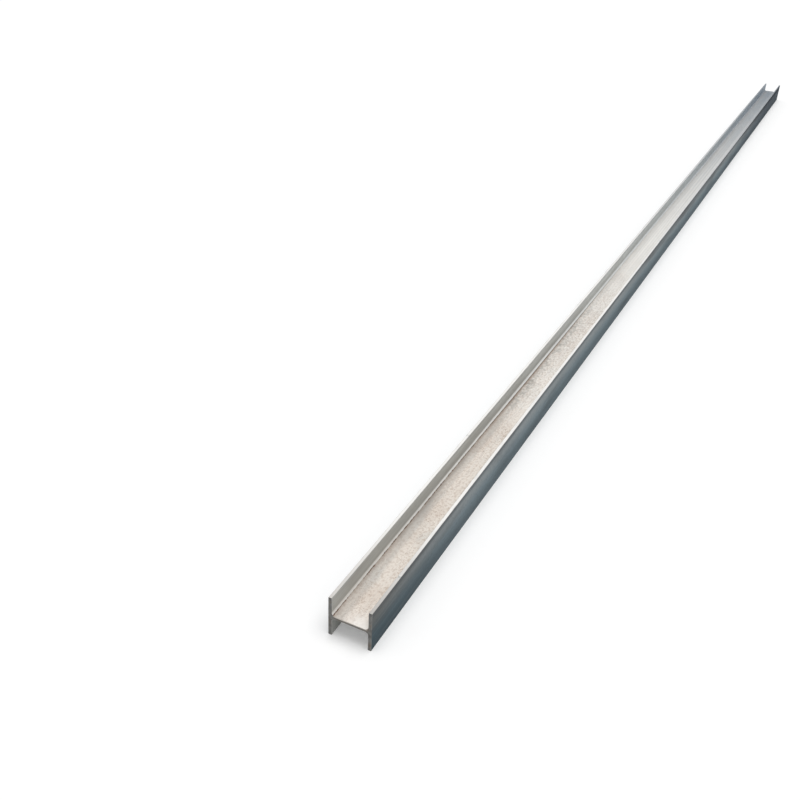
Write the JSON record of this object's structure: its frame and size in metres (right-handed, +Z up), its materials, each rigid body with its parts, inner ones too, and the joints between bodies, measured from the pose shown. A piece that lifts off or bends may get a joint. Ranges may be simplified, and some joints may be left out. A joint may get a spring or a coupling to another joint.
{
  "type": "i-beam",
  "caption": "Parallel-flange rolled steel beam of H section, as wide as it is deep, with root fillets and plain sawn ends, lying on the tips of its flanges.",
  "frame": {"origin": "middle of the surface that the flange tips rest on, half way along the beam", "axes": "+Y along the beam, -Y the end nearest the camera; +X across the section, through both flanges; +Z up, square to the web"},
  "size_m": [0.1, 6, 0.1],
  "materials": {
    "mill_steel": "dull grey mill finish, dusty, with light rust along the roots"
  },
  "bodies": {
    "root": {"i_beam": "mill_steel"}
  },
  "joints": []
}
